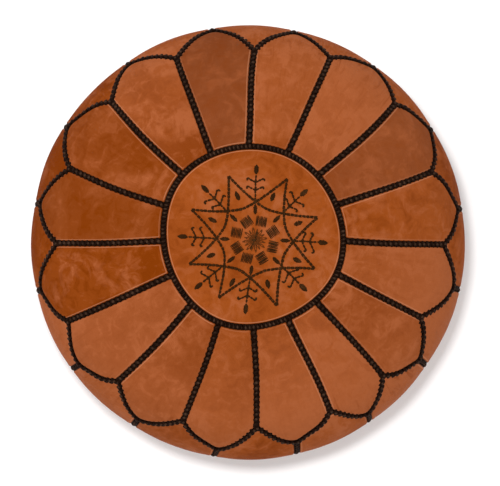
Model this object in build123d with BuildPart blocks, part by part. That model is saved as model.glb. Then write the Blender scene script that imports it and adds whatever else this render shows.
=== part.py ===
"""Round stuffed leather pouf: sixteen petals round a stitched medallion, sixteen side panels, zipped base.

Frame: millimetres, +Z up, origin on the floor under the middle of the pouf.
Seams between petals lie on multiples of the petal pitch, starting on +X. The zip runs along X.
"""

import os
from math import acos, asin, atan2, cos, degrees, hypot, radians, sin, sqrt, tan

from build123d import *

# Stuffed shape, over the leather
pouf_diameter = 530.0
crown_height = 165.0  # widest line up to the top of the medallion
waist_height = 165.0  # floor up to the widest line
shoulder_radius = 120.0  # roll of the upper edge
belly_radius = 260.0  # curve of the wall below the widest line
foot_radius = 55.0  # roll of the wall into the base
rest_ring_width = 14.0  # flat ring that meets the floor
base_recess = 11.0  # the middle of the base stands this far off the floor
recess_slope = 45.0  # degrees, from the rest ring up to the recess
leather = 1.8

# Panels
petal_count = 16
medallion_radius = 107.0
corner_inset = 35.5  # where petals meet, measured in from the widest line
tip_inset = 11.0  # petal tips, measured in from the widest line
arch_bulge = 4.0  # how far each half of a petal's arch bows out from straight
base_turnup = 27.0  # base panel beyond the rest ring, up to its seam

# Thread
seam_width = 9.0
seam_height = 2.0
thread_lift = 0.05  # thread stands this far off the leather
embroidery_height = 0.8
embroidery_width = 1.8
star_points = 8
star_centre = (2.0, -5.0)  # the embroidery isn't quite in the middle of the medallion
star_radius = 79.5  # points of the star
star_sag = 17.0  # how far each side of its two squares bows in
star_turn = -3.0  # degrees; the star isn't quite square to the petals
branch_root = 45.0
branch_end = 75.0
leaf_length = 13.4
leaf_width = 5.2
inner_leaf_radius = 35.0
point_leaf_radius = 54.8
twig_length = 12.4
twig_slope = 27.0  # degrees that the twigs lean outwards
twig_radii = (57.0, 66.5)
block_circle = 22.8  # radius that the filled blocks stand on
block_side = 11.0
block_turn = 10.0  # degrees that each block is turned from its own radius
ray_count = 16
ray_inner = 3.0
ray_outer = 14.0

# Filling
bag_slack = 0.6  # between the leather and the inner bag
bag_wall = 0.8
bag_lift = 5.5  # the bag stands this much higher than the leather over the zip

# Zip
zip_end_margin = 28.0  # last tooth to the edge of the recess
zip_window = 14.0  # between the two folded leather edges
zip_stitch_inset = 3.6  # folded edge to the middle of its stitching
tape_width = 14.0
tape_thickness = 0.7
tape_end = 10.0  # tape beyond the last tooth
tooth_pitch = 3.0
tooth_length = 1.6
tooth_reach = 1.6  # from the tape's edge towards the other row
tooth_rail = 0.8  # solid strip at the tape's edge that joins the teeth of a row
tooth_height = 2.4
row_gap = 1.2  # between the two rows, where the slider's web runs
slider_length = 12.0
slider_width = 9.6
slider_corner = 2.4
slider_plate = 1.3
flange_length = 6.0
slider_clearance = 0.35
web_thickness = 0.6
web_length = 3.5
slider_start = 7.0  # slider's middle to the last tooth when the zip is shut
bail_radius = 1.9
bail_width = 2.6
pin_radius = 0.8
pin_clearance = 0.07
hinge_drop = 1.6  # pull's hinge below the slider's lower plate
pull_length = 25.0
pull_width = 7.0
pull_thickness = 1.6
pull_corner = 1.4
pull_hole_radius = 1.4
pull_side_clearance = 0.4
stop_length = 3.0
stop_corner = 0.4

# Sizes that follow from those above
pouf_radius = pouf_diameter / 2
pouf_height = crown_height + waist_height
half_pitch = 180.0 / petal_count
shoulder_x = pouf_radius - shoulder_radius
dome_radius = (shoulder_x**2 + crown_height**2 - shoulder_radius**2) / (2 * (crown_height - shoulder_radius))
dome_z = pouf_height - dome_radius
dome_angle = degrees(atan2(shoulder_x, dome_radius - crown_height))
belly_x = pouf_radius - belly_radius
belly_angle = degrees(asin((waist_height - foot_radius) / (belly_radius - foot_radius)))
foot_x = belly_x + sqrt((belly_radius - foot_radius) ** 2 - (waist_height - foot_radius) ** 2)
ring_inner = foot_x - rest_ring_width
recess_radius = ring_inner - base_recess / tan(radians(recess_slope))
base_seam_radius = foot_x + base_turnup
teeth_half = recess_radius - zip_end_margin
tape_half = teeth_half + tape_end


def filled_body(depth, recess=base_recess):
    """The stuffed shape down to a surface that lies depth inside the leather's outer face."""
    shift = depth * tan(radians(recess_slope / 2))
    slope_run = recess / tan(radians(recess_slope))
    with BuildPart() as body:
        with BuildSketch(Plane.XZ):
            with BuildLine():
                CenterArc((0, dome_z), dome_radius - depth, 90 - dome_angle, dome_angle)
                CenterArc((shoulder_x, waist_height), shoulder_radius - depth, 0, 90 - dome_angle)
                CenterArc((belly_x, waist_height), belly_radius - depth, -belly_angle, belly_angle)
                CenterArc((foot_x, foot_radius), foot_radius - depth, -90, 90 - belly_angle)
                Polyline(
                    (foot_x, depth),
                    (ring_inner + shift, depth),
                    (ring_inner - slope_run + shift, recess + depth),
                    (0, recess + depth),
                    (0, pouf_height - depth),
                )
            make_face()
        revolve(axis=Axis.Z)
    return body.part


def skin(outer_depth, inner_depth):
    """A hollow skin between two depths."""
    with BuildPart() as shell:
        add(filled_body(outer_depth))
        add(filled_body(inner_depth), mode=Mode.SUBTRACT)
    return shell.part


def wedge(half_angle):
    """A pie slice either side of +X, taller and wider than the pouf."""
    reach = pouf_diameter
    with BuildPart() as piece:
        with BuildSketch(Plane.XY.offset(-pouf_height)):
            with BuildLine():
                edge = CenterArc((0, 0), reach, -half_angle, 2 * half_angle)
                Line((0, 0), edge @ 0)
                Line(edge @ 1, (0, 0))
            make_face()
        extrude(amount=3 * pouf_height)
    return piece.part


def turned(part, angle):
    """A copy of a part, turned about Z."""
    return part.rotate(Axis.Z, angle)


def on_shoulder(inset):
    """Radius, height and slope angle of the point on the shoulder that lies inset in from the widest line."""
    angle = acos((shoulder_radius - inset) / shoulder_radius)
    return pouf_radius - inset, waist_height + shoulder_radius * sin(angle), angle


# A petal's arch is drawn on a plane that faces the shoulder squarely between its corners and its tip.
corner_radius, corner_z, corner_angle = on_shoulder(corner_inset)
tip_radius, tip_z, tip_angle = on_shoulder(tip_inset)
arch_tilt = (corner_angle + tip_angle) / 2
arch_origin = Vector(
    shoulder_x + shoulder_radius * cos(arch_tilt), 0, waist_height + shoulder_radius * sin(arch_tilt)
)
arch_plane = Plane(origin=arch_origin, x_dir=(0, 1, 0), z_dir=(cos(arch_tilt), 0, sin(arch_tilt)))
corner_point = arch_plane.to_local_coords(
    Vector(corner_radius * cos(radians(half_pitch)), corner_radius * sin(radians(half_pitch)), corner_z)
)
tip_point = arch_plane.to_local_coords(Vector(tip_radius, 0, tip_z))
corner_across, corner_up = corner_point.X, corner_point.Y
tip_up = tip_point.Y
arch_beyond = seam_width * 2  # the arch's line runs on past the corners, to be trimmed by the wedge


def arch_line():
    """A petal's outer edge on arch_plane, from left to right."""
    chord = hypot(corner_across, corner_up - tip_up)
    bow_across = arch_bulge * (corner_up - tip_up) / chord
    bow_down = arch_bulge * corner_across / chord
    middle_up = (corner_up + tip_up) / 2 - bow_down
    middle_across = corner_across / 2 + bow_across
    with BuildLine() as line:
        Line((-corner_across - arch_beyond, corner_up), (-corner_across, corner_up))
        ThreePointArc((-corner_across, corner_up), (-middle_across, middle_up), (0, tip_up))
        ThreePointArc((0, tip_up), (middle_across, middle_up), (corner_across, corner_up))
        Line((corner_across, corner_up), (corner_across + arch_beyond, corner_up))
    return line.line


def petal_space():
    """Everything above a petal's arch, within its slice."""
    far_across = corner_across + arch_beyond
    with BuildPart() as space:
        with BuildSketch(arch_plane):
            with BuildLine():
                add(arch_line())
                Polyline(
                    (far_across, corner_up),
                    (far_across, pouf_diameter),
                    (-far_across, pouf_diameter),
                    (-far_across, corner_up),
                )
            make_face()
        extrude(amount=pouf_radius, both=True)
        add(wedge(half_pitch), mode=Mode.INTERSECT)
    return space.part


def arch_band_space():
    """A strip seam_width wide along a petal's arch, within its slice."""
    with BuildPart() as space:
        with BuildSketch(arch_plane):
            trace(arch_line(), line_width=seam_width)
        extrude(amount=shoulder_radius / 2, both=True)
        add(wedge(half_pitch), mode=Mode.INTERSECT)
    return space.part


def upright_ring(middle_radius, low, high):
    """A vertical ring seam_width wide."""
    with BuildPart() as ring:
        with BuildSketch(Plane.XY.offset(low)):
            Circle(middle_radius + seam_width / 2)
            Circle(middle_radius - seam_width / 2, mode=Mode.SUBTRACT)
        extrude(amount=high - low)
    return ring.part


os.makedirs("parts", exist_ok=True)
written = []


def save(part, name):
    """Labels a finished piece and writes it to parts/."""
    part.label = name
    export_step(part, f"parts/{name}.step")
    written.append(name)


above = 2 * pouf_height  # taller than anything, for cuts that go right through
below = -2 * seam_height  # lower than any seam
leather_skin = skin(0, leather)
thread_skin = skin(-seam_height, -thread_lift)
petal_cut = petal_space()
arch_cut = arch_band_space()
medallion_ring = upright_ring(medallion_radius, waist_height, above)
base_ring = upright_ring(base_seam_radius, below, waist_height / 2)

# Leather panels -----------------------------------------------------------------------------------

with BuildPart() as medallion_panel:
    add(leather_skin)
    with BuildSketch(Plane.XY.offset(waist_height)):
        Circle(medallion_radius)
    extrude(amount=above, mode=Mode.INTERSECT)
save(medallion_panel.part, "medallion_panel")

with BuildPart() as petal:
    add(leather_skin)
    add(petal_cut, mode=Mode.INTERSECT)
    with BuildSketch(Plane.XY.offset(waist_height)):
        Circle(medallion_radius)
    extrude(amount=above, mode=Mode.SUBTRACT)

with BuildPart() as side_panel:
    add(leather_skin)
    add(wedge(half_pitch), mode=Mode.INTERSECT)
    add(turned(petal_cut, half_pitch), mode=Mode.SUBTRACT)
    add(turned(petal_cut, -half_pitch), mode=Mode.SUBTRACT)
    with BuildSketch(Plane.XY):
        Circle(base_seam_radius)
    extrude(amount=waist_height / 2, mode=Mode.SUBTRACT)

for number in range(petal_count):
    save(turned(petal.part, (2 * number + 1) * half_pitch), f"petal_{number + 1:02d}")
    save(turned(side_panel.part, 2 * number * half_pitch), f"side_panel_{number + 1:02d}")

with BuildPart() as base_panel:
    add(leather_skin)
    with BuildSketch(Plane.XY.offset(-above)):
        Circle(base_seam_radius)
    extrude(amount=above + waist_height / 2, mode=Mode.INTERSECT)
    with BuildSketch(Plane.XY):
        Rectangle(2 * tape_half, zip_window)
    extrude(amount=waist_height / 2, mode=Mode.SUBTRACT)

for name, side in (("base_panel_front", Keep.BOTTOM), ("base_panel_rear", Keep.TOP)):
    with BuildPart() as half:
        add(base_panel.part)
        split(bisect_by=Plane.XZ.reverse(), keep=side)
    save(half.part, name)

# Seams of plaited thread --------------------------------------------------------------------------

with BuildPart() as medallion_seam:
    add(thread_skin)
    add(medallion_ring, mode=Mode.INTERSECT)
save(medallion_seam.part, "medallion_seam")

with BuildPart() as base_seam:
    add(thread_skin)
    add(base_ring, mode=Mode.INTERSECT)
save(base_seam.part, "base_seam")

with BuildPart() as arch_strip:
    add(thread_skin)
    add(arch_cut, mode=Mode.INTERSECT)

with BuildPart() as petal_strip:
    add(thread_skin)
    with BuildSketch(Plane.XY.offset(waist_height)):
        with Locations((corner_radius / 2, 0)):
            Rectangle(corner_radius, seam_width)
    extrude(amount=above, mode=Mode.INTERSECT)
    add(medallion_ring, mode=Mode.SUBTRACT)
    with BuildSketch(Plane.XY.offset(waist_height)):
        Circle(medallion_radius)
    extrude(amount=above, mode=Mode.SUBTRACT)
    add(turned(arch_cut, half_pitch), mode=Mode.SUBTRACT)
    add(turned(arch_cut, -half_pitch), mode=Mode.SUBTRACT)

with BuildPart() as side_strip:
    add(thread_skin)
    with BuildSketch(Plane.YZ):
        with Locations((0, tip_z / 2)):
            Rectangle(seam_width, tip_z)
    extrude(amount=pouf_diameter, mode=Mode.INTERSECT)
    with BuildSketch(Plane.XY.offset(below)):
        Circle(base_seam_radius)
    extrude(amount=waist_height / 2 - below, mode=Mode.SUBTRACT)
    add(base_ring, mode=Mode.SUBTRACT)
    add(petal_cut, mode=Mode.SUBTRACT)
    add(arch_cut, mode=Mode.SUBTRACT)

for name, strip, first_angle in (
    ("petal_seams", petal_strip, 0),
    ("arch_seams", arch_strip, half_pitch),
    ("side_seams", side_strip, half_pitch),
):
    copies = [turned(strip.part, first_angle + 2 * number * half_pitch) for number in range(petal_count)]
    save(Compound(children=copies), name)

# Embroidery on the medallion ----------------------------------------------------------------------


def leaf(radius, angle, length=leaf_length, width=leaf_width):
    """A lozenge that points away from the middle; radius is to its centre."""
    with Locations(Location((radius * cos(radians(angle)), radius * sin(radians(angle))), angle)):
        Polygon((-length / 2, 0), (0, -width / 2), (length / 2, 0), (0, width / 2))


star_pitch = 360 / star_points
half_side = star_radius * cos(radians(star_pitch))  # the star is two squares laid over each other
twig_across = twig_length * cos(radians(twig_slope))
twig_out = twig_length * sin(radians(twig_slope))

with BuildPart() as embroidery:
    add(skin(-embroidery_height, -thread_lift))
    with BuildSketch(Plane((*star_centre, waist_height))):
        for point in range(star_points):
            star_angle = star_turn + star_pitch * point
            side_plane = Plane.XY.rotated((0, 0, star_angle + star_pitch / 2))
            with BuildLine(side_plane, mode=Mode.PRIVATE) as star_side:
                ThreePointArc((half_side, -half_side), (half_side - star_sag, 0), (half_side, half_side))
            trace(star_side.line, line_width=embroidery_width)
            with BuildLine(Plane.XY.rotated((0, 0, star_angle)), mode=Mode.PRIVATE) as branch:
                Line((branch_root, 0), (branch_end, 0))
                for twig_radius in twig_radii:
                    for side in (-1, 1):
                        Line((twig_radius, 0), (twig_radius + twig_out, side * twig_across))
            trace(branch.line, line_width=embroidery_width)
            leaf(branch_end + leaf_length / 2, star_angle)
            leaf(inner_leaf_radius, star_angle)
            leaf(point_leaf_radius, star_angle + star_pitch / 2)
            with PolarLocations(block_circle, 1, start_angle=star_angle + star_pitch / 2):
                Rectangle(block_side, block_side, rotation=block_turn)
        for ray in range(ray_count):
            leaf((ray_inner + ray_outer) / 2, ray * 360 / ray_count, ray_outer - ray_inner, embroidery_width)
    extrude(amount=above, mode=Mode.INTERSECT)
save(embroidery.part, "medallion_embroidery")

# Zip ----------------------------------------------------------------------------------------------

tape_low = base_recess + leather
tape_middle = tape_low + tape_thickness / 2
tape_edge = row_gap / 2 + tooth_reach
teeth_low = tape_middle - tooth_height / 2
teeth_high = tape_middle + tooth_height / 2
tooth_count = int(2 * teeth_half / tooth_pitch) - 1
stop_x = teeth_half + slider_clearance + stop_length / 2

for name, side in (("front", -1), ("rear", 1)):
    with BuildPart() as tape:
        with BuildSketch(Plane.XY.offset(tape_low)):
            with Locations((0, side * (tape_edge + tape_width / 2))):
                Rectangle(2 * tape_half, tape_width)
        extrude(amount=tape_thickness)
    save(tape.part, f"zip_tape_{name}")

    tooth_shift = side * tooth_pitch / 4
    with BuildPart() as teeth:
        with BuildSketch(Plane.XY.offset(teeth_low)):
            with Locations((0, side * (tape_edge - tooth_rail / 2))):
                Rectangle(2 * teeth_half, tooth_rail)
            with Locations((tooth_shift, side * (tape_edge - tooth_reach / 2))):
                with GridLocations(tooth_pitch, 0, tooth_count, 1):
                    Rectangle(tooth_length, tooth_reach)
        extrude(amount=tooth_height)
    save(teeth.part, f"zip_teeth_{name}")

    with BuildPart() as top_stop:
        with BuildSketch(Plane.XY.offset(teeth_low)):
            with Locations((stop_x, side * (tape_edge - tooth_reach / 2))):
                RectangleRounded(stop_length, tooth_reach, stop_corner)
        extrude(amount=tooth_height)
    save(top_stop.part, f"zip_top_stop_{name}")

with BuildPart() as bottom_stop:
    with BuildSketch(Plane.XY.offset(teeth_low)):
        with Locations((-stop_x, 0)):
            RectangleRounded(stop_length, 2 * tape_edge, stop_corner)
    extrude(amount=tooth_height)
save(bottom_stop.part, "zip_bottom_stop")

# The slider stands shut, near +X. Its lower plate faces the floor and carries the bail.
slider_x = teeth_half - slider_start
plate_low = teeth_low - slider_clearance - slider_plate
upper_plate = teeth_high + slider_clearance
flange_middle = slider_width / 2 - slider_plate / 2
hinge_z = plate_low - hinge_drop

with BuildPart() as slider:
    for plate_z in (plate_low, upper_plate):
        with BuildSketch(Plane.XY.offset(plate_z)):
            with Locations((slider_x, 0)):
                RectangleRounded(slider_length, slider_width, slider_corner)
        extrude(amount=slider_plate)
    for flange_z, flange_height in (
        (plate_low, tape_low - slider_clearance - plate_low),
        (tape_low + tape_thickness + slider_clearance, upper_plate - tape_low - tape_thickness - slider_clearance),
    ):
        with BuildSketch(Plane.XY.offset(flange_z)):
            with Locations((slider_x, 0)):
                with GridLocations(0, 2 * flange_middle, 1, 2):
                    Rectangle(flange_length, slider_plate)
        extrude(amount=flange_height)
    with BuildSketch(Plane.XY.offset(plate_low)):
        with Locations((slider_x + slider_length / 2 - web_length / 2, 0)):
            Rectangle(web_length, web_thickness)
    extrude(amount=upper_plate + slider_plate - plate_low)
    with BuildSketch(Plane.XZ.offset(-bail_width / 2)):
        with Locations((slider_x, hinge_z)):
            Circle(bail_radius)
        with Locations((slider_x, (hinge_z + plate_low) / 2)):
            Rectangle(2 * bail_radius, plate_low - hinge_z)
        with Locations((slider_x, hinge_z)):
            Circle(pin_radius + pin_clearance, mode=Mode.SUBTRACT)
    extrude(amount=bail_width)
save(slider.part, "zip_slider")

# The pull lies back along the teeth, towards -X.
yoke_inner = bail_width / 2 + pull_side_clearance
yoke_gap_end = bail_radius + pull_side_clearance
with BuildPart() as pull:
    with BuildSketch(Plane.XY.offset(hinge_z - pull_thickness / 2)):
        with Locations((slider_x - pull_length / 2, 0)):
            RectangleRounded(pull_length + pull_thickness, pull_width, pull_corner)
        with Locations((slider_x, 0)):
            Rectangle(2 * yoke_gap_end, 2 * yoke_inner, mode=Mode.SUBTRACT)
        with Locations((slider_x - pull_length + pull_width / 2, 0)):
            Circle(pull_hole_radius, mode=Mode.SUBTRACT)
    extrude(amount=pull_thickness)
    with BuildSketch(Plane.XZ.offset(-pull_width / 2)):
        with Locations((slider_x, hinge_z)):
            Circle(pin_radius)
    extrude(amount=pull_width)
save(pull.part, "zip_pull")

with BuildPart() as zip_stitches:
    with BuildSketch(Plane.XY.offset(base_recess - embroidery_height)):
        with GridLocations(0, zip_window + 2 * zip_stitch_inset, 1, 2):
            Rectangle(2 * tape_half, embroidery_width)
    extrude(amount=embroidery_height)
save(zip_stitches.part, "zip_stitches")

# Filling ------------------------------------------------------------------------------------------

bag_depth = leather + bag_slack
filling_depth = bag_depth + bag_wall
with BuildPart() as inner_bag:
    add(filled_body(bag_depth, base_recess + bag_lift))
    add(filled_body(filling_depth, base_recess + bag_lift), mode=Mode.SUBTRACT)
save(inner_bag.part, "inner_bag")

with BuildPart() as filling:
    add(filled_body(filling_depth, base_recess + bag_lift))
save(filling.part, "filling")

print(f"{len(written)} nodes; dome {dome_radius:.0f}, base seam radius {base_seam_radius:.0f},")
print(f"zip teeth {2 * teeth_half:.0f} long, slider at {slider_x:.1f}, hinge at {hinge_z:.2f}")
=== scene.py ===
from math import acos, asin, atan2, cos, hypot, pi, radians, sin, sqrt

import bmesh
import bpy
import numpy as np
from mathutils import Matrix, Vector


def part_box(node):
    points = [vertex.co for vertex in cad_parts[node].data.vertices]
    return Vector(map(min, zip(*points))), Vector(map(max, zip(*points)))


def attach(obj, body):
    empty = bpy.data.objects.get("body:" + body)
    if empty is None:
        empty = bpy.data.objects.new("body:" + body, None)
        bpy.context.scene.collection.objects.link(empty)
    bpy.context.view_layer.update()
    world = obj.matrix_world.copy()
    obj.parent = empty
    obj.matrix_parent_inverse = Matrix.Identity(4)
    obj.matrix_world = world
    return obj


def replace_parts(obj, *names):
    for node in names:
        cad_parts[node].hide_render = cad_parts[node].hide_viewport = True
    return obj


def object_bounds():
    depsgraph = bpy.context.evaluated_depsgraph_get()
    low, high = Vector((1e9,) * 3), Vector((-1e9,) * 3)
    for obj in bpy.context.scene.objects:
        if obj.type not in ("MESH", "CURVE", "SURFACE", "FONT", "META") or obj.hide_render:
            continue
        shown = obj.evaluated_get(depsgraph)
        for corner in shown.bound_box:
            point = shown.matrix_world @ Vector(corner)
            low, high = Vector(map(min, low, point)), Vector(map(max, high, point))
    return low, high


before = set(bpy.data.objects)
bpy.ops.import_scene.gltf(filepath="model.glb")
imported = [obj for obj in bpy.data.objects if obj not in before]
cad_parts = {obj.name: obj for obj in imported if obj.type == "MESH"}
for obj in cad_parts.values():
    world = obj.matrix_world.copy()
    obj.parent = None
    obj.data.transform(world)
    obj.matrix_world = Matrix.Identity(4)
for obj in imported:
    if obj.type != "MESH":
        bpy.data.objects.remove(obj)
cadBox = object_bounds()
scene = bpy.context.scene
scene.view_settings.view_transform = "Standard"

# Camera: almost straight above, leaning a little towards the near left

view = {
    "distance": 4.0,
    "lean": 2.87,  # degrees off straight down
    "side": 237,  # degrees round from +X that it leans to
    "frameWidth": 500,
    "poufWidth": 432.5,  # of frameWidth
    "aim": (0.0022, -0.0015),  # moved across the floor, to sit the pouf in the frame
}

poufWidth = cadBox[1].x - cadBox[0].x
widestHeight = 0.165
mergeDistance = 0.00005


def makeCamera():
    lean, side = radians(view["lean"]), radians(view["side"])
    away = Vector((sin(lean) * cos(side), sin(lean) * sin(side), cos(lean)))
    aim = Vector((view["aim"][0], view["aim"][1], widestHeight))
    right = Vector((0, 1, 0)).cross(away).normalized()
    up = away.cross(right)
    data = bpy.data.cameras.new("camera")
    data.sensor_width = 36
    data.lens = data.sensor_width * (view["distance"] / poufWidth) * view["poufWidth"] / view["frameWidth"]
    camera = bpy.data.objects.new("camera", data)
    camera.matrix_world = Matrix.Translation(aim + away * view["distance"]) @ Matrix(
        (right, up, away)
    ).transposed().to_4x4()
    scene.collection.objects.link(camera)
    scene.camera = camera


makeCamera()
print("camera placed")

# The pouf's outline from the middle of the top, over the edge, and under to the middle of the base

pouf = {
    "petals": 16,
    "shoulder": 0.120,
    "belly": 0.260,
    "foot": 0.055,
    "restRing": 0.014,
    "recess": 0.011,
    "leather": 0.0018,
    "arch": {"corner": 0.0337, "tip": 0.0097, "bulge": 0.004},
    "swayWaves": 9,
    "sway": 0.0010,  # how far each wave of the hand-made unevenness moves a point
    "swayLength": (0.11, 0.30),
    "swayFloor": 0.06,  # none at the floor, all of it this high
    "swayOut": 0.3,  # share of it that is left outwards at the widest line
}

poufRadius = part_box("side_panel_01")[1].x
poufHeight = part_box("medallion_panel")[1].z
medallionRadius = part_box("medallion_panel")[1].x
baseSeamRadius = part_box("base_panel_rear")[1].x
halfPitch = pi / pouf["petals"]
shoulderX = poufRadius - pouf["shoulder"]
crown = poufHeight - widestHeight
domeRadius = (shoulderX**2 + crown**2 - pouf["shoulder"] ** 2) / (2 * (crown - pouf["shoulder"]))
domeAngle = atan2(shoulderX, domeRadius - crown)
bellyAngle = asin((widestHeight - pouf["foot"]) / (pouf["belly"] - pouf["foot"]))
footX = poufRadius - pouf["belly"] + (pouf["belly"] - pouf["foot"]) * cos(bellyAngle)


def arc(centreX, centreZ, size, start, end):
    turn = np.linspace(start, end, 2 + int(abs(end - start) * size / 0.0005))
    facing = np.column_stack([np.cos(turn), np.sin(turn)])
    return np.hstack([facing * size + (centreX, centreZ), facing])


def flat(start, end, facing):
    share = np.linspace(0, 1, 2 + int(hypot(end[0] - start[0], end[1] - start[1]) / 0.0005))[:, None]
    return np.hstack([np.array(start) * (1 - share) + np.array(end) * share, np.ones_like(share) * facing])


def outline(depth=0.0, recess=pouf["recess"]):
    ringInner = footX - pouf["restRing"]
    slant = sqrt(0.5)
    points = np.vstack(
        [
            arc(0, poufHeight - domeRadius, domeRadius - depth, pi / 2, pi / 2 - domeAngle),
            arc(shoulderX, widestHeight, pouf["shoulder"] - depth, pi / 2 - domeAngle, 0),
            arc(poufRadius - pouf["belly"], widestHeight, pouf["belly"] - depth, 0, -bellyAngle),
            arc(footX, pouf["foot"], pouf["foot"] - depth, -bellyAngle, -pi / 2),
            flat((footX, depth), (ringInner, depth), (0, -1)),
            flat((ringInner, depth), (ringInner - recess, depth + recess), (-slant, -slant)),
            flat((ringInner - recess, depth + recess), (0, depth + recess), (0, -1)),
        ]
    )
    steps = np.hypot(*np.diff(points[:, :2], axis=0).T)
    return np.column_stack([points, np.concatenate([[0], np.cumsum(steps)])])


skin = outline()


def place(turn, along, lift=0.0, line=skin):
    x, z, outX, outZ = (np.interp(along, line[:, 4], line[:, column]) for column in range(4))
    x = x + outX * lift
    return np.stack([x * np.cos(turn), x * np.sin(turn), z + outZ * lift], -1)


def makeSway():
    draw = np.random.RandomState(7)
    waves = []
    for _ in range(pouf["swayWaves"]):
        facing = draw.normal(size=3)
        facing *= 2 * pi / draw.uniform(*pouf["swayLength"]) / np.linalg.norm(facing)
        push = draw.normal(size=3) * (1, 1, 0.5)
        waves.append((facing, push / np.linalg.norm(push), draw.uniform(0, 2 * pi)))
    return waves


swayWaves = makeSway()


def sway(points):
    shift = sum(np.sin(points @ facing + phase)[..., None] * push for facing, push, phase in swayWaves)
    reach = np.maximum(np.linalg.norm(points[..., :2], axis=-1, keepdims=True), 1e-6)
    out = points[..., :2] / reach
    outwards = (shift[..., :2] * out).sum(-1, keepdims=True) * out
    shift[..., :2] -= outwards * (1 - pouf["swayOut"]) * np.clip(reach / poufRadius, 0, 1) ** 4
    share = np.clip(points[..., 2:] / pouf["swayFloor"], 0, 1)
    return points + shift * pouf["sway"] * share * share * (3 - 2 * share)


def alongAt(radius, below=False):
    widest = int(np.argmax(skin[:, 0]))
    part = skin[widest:][::-1] if below else skin[: widest + 1]
    return float(np.interp(radius, part[:, 0], part[:, 4]))


ringAlong = alongAt(medallionRadius)
baseAlong = alongAt(baseSeamRadius, below=True)


def shoulderPoint(inset):
    slope = acos(1 - inset / pouf["shoulder"])
    return poufRadius - inset, widestHeight + pouf["shoulder"] * sin(slope), slope


def archLine():
    cornerX, cornerZ, cornerSlope = shoulderPoint(pouf["arch"]["corner"])
    tipX, tipZ, tipSlope = shoulderPoint(pouf["arch"]["tip"])
    slope = (cornerSlope + tipSlope) / 2
    originX, originZ = shoulderX + pouf["shoulder"] * cos(slope), widestHeight + pouf["shoulder"] * sin(slope)

    def upSlope(x, z):
        return (z - originZ) * cos(slope) - (x - originX) * sin(slope)

    corner = np.array([cornerX * sin(halfPitch), upSlope(cornerX * cos(halfPitch), cornerZ)])
    tip = np.array([0.0, upSlope(tipX, tipZ)])
    chord = tip - corner
    bow = pouf["arch"]["bulge"] * np.array([-chord[1], chord[0]]) / np.linalg.norm(chord)
    share = np.linspace(1, 0, 60)[:, None]
    edge = corner + chord * share + 4 * share * (1 - share) * bow
    return edge, upSlope


archEdge, upSlope = archLine()


def evenArch(turn):  # how far down the outline a petal ends, at a turn from its middle
    turn = np.abs(np.asarray(turn, float))
    low, high = np.full(turn.shape, alongAt(poufRadius - 0.06)), np.full(turn.shape, alongAt(poufRadius))
    for _ in range(36):
        middle = (low + high) / 2
        x = np.interp(middle, skin[:, 4], skin[:, 0])
        z = np.interp(middle, skin[:, 4], skin[:, 1])
        inside = upSlope(x * np.cos(turn), z) > np.interp(x * np.sin(turn), archEdge[:, 0], archEdge[:, 1])
        low, high = np.where(inside, middle, low), np.where(inside, high, middle)
    return low


uneven = {  # cut and sewn by hand: how far off its even place each seam and arch is, 01 to 16, in degrees
    "ringTurn": (-2.7, -3.3, -3.9, -1.7, 1.6, 3.2, 2.8, 3.3, 3.8, 4.2, 3.6, 2.8, 3.3, 2.4, 0.0, -1.0),
    "cornerTurn": (-2.0, -2.2, -1.8, -1.2, -1.4, -0.2, 1.0, 1.6, 1.4, 2.0, 2.2, 1.6, 2.2, 2.2, -1.0, -2.2),
    "tipTurn": (-3.6, -2.1, -2.1, -0.8, -1.7, 1.0, 1.9, 1.0, 2.3, 2.8, 1.5, 2.3, 2.1, 0.9, -1.4, -1.9),
    "corner": (0, -2, 8, 10, -9, 2, 3, -1, 0, 10, 1, 2, -8, -7, -6, -10),  # mm down the outline
    "tip": (2, 6, 8, 9, 9, 9, 10, 8, 10, -4, 1, 0, -12, -4, -8, -7),
    "bow": 2.2,
}


def makeUneven():
    draw = np.random.RandomState(11)
    places = {key: np.radians(uneven[key]) for key in ("ringTurn", "cornerTurn", "tipTurn")}
    places.update({key: np.array(uneven[key]) / 1000 for key in ("corner", "tip")})
    for key in ("bowLeft", "bowRight"):
        places[key] = draw.uniform(-1, 1, pouf["petals"]) * uneven["bow"] / 1000
    return places


places = makeUneven()


def petalEnds(petal):  # the turns of its two corners, from its even middle
    here, after = petal % pouf["petals"], (petal + 1) % pouf["petals"]
    return places["cornerTurn"][here] - halfPitch, places["cornerTurn"][after] + halfPitch


def archAlong(petal, turn):
    here, after = petal % pouf["petals"], (petal + 1) % pouf["petals"]
    turn = np.asarray(turn, float)
    tip = places["tipTurn"][here]
    start, end = petalEnds(petal)
    left = turn < tip
    share = np.where(left, (tip - turn) / (tip - start), (turn - tip) / (end - tip)).clip(0, 1)
    corner = np.where(left, places["corner"][here], places["corner"][after])
    bow = np.where(left, places["bowLeft"][here], places["bowRight"][here])
    shift = places["tip"][here] * (1 - share) + corner * share + bow * np.sin(2 * pi * share)
    return evenArch(share * halfPitch) + shift


def newPiece(name, bm, material):
    mesh = bpy.data.meshes.new(name)
    bm.to_mesh(mesh)
    bm.free()
    mesh.shade_smooth()
    piece = bpy.data.objects.new(name, mesh)
    scene.collection.objects.link(piece)
    mesh.materials.append(material)
    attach(piece, "cover")
    return piece


def spun(points, angle, steps):  # a line of points turned about the upright axis
    bm = bmesh.new()
    rim = [bm.verts.new(point) for point in points]
    edges = [bm.edges.new(pair) for pair in zip(rim, rim[1:])]
    whole = angle == 2 * pi
    bmesh.ops.spin(
        bm, geom=rim + edges, angle=angle, steps=steps, axis=(0, 0, 1), cent=(0, 0, 0), use_merge=whole
    )
    bmesh.ops.remove_doubles(bm, verts=bm.verts, dist=mergeDistance)
    return bm


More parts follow.
